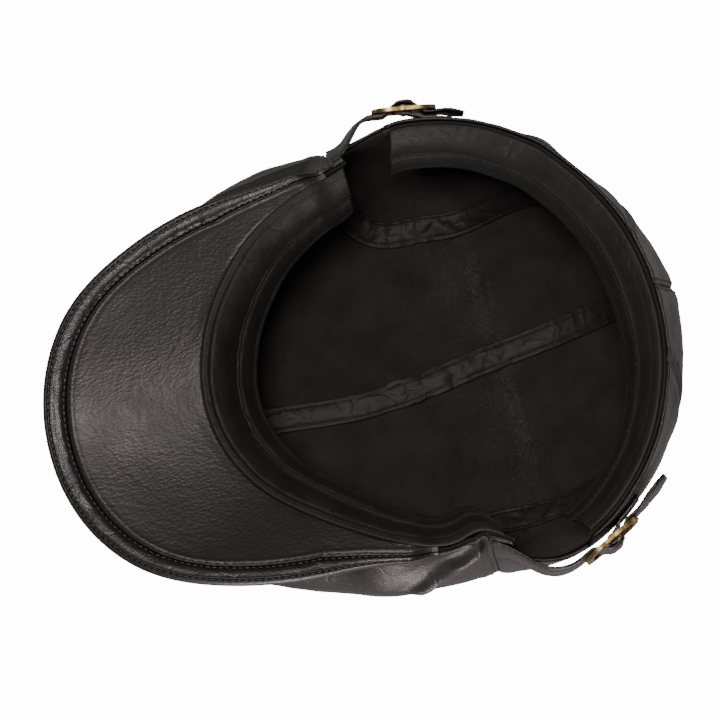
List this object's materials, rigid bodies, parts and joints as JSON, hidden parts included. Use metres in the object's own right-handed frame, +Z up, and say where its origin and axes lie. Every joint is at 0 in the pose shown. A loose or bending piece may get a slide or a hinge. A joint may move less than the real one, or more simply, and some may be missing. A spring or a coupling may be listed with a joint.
{
  "type": "leather flat cap",
  "caption": "Soft leather cap with a stiff curved visor, cloth lining, satin sweatband and buckled side straps, lying upside down on its flattened crown.",
  "frame": {"origin": "middle of the flattened crown, on the surface that the cap lies on", "axes": "+Z up, out of the head opening; -Y towards the visor; +X to the side whose slit is nearer the viewer in the picture"},
  "size_m": [0.2008, 0.2601, 0.1064],
  "materials": {
    "leather": "smooth soft black leather with a low sheen",
    "grained_leather": "black leather with a fine pebbled grain",
    "lining_cloth": "brushed dark cloth",
    "satin_cloth": "dark satin with a soft sheen",
    "brass": "aged brass, satin"
  },
  "bodies": {
    "root": {"crown_top_left": "leather", "crown_top_right": "leather", "crown_side_left": "leather", "crown_side_right": "leather", "visor_top_cover": "leather", "strap_left": "leather", "strap_right": "leather", "buckle_tab_left": "leather", "buckle_tab_right": "leather", "visor_under_cover": "grained_leather", "crown_lining": "lining_cloth", "sweatband_front": "satin_cloth", "sweatband_back": "satin_cloth", "seam_tape_centre": "satin_cloth", "seam_tape_left": "satin_cloth", "seam_tape_right": "satin_cloth", "buckle_left": "brass", "buckle_right": "brass"}
  },
  "joints": []
}
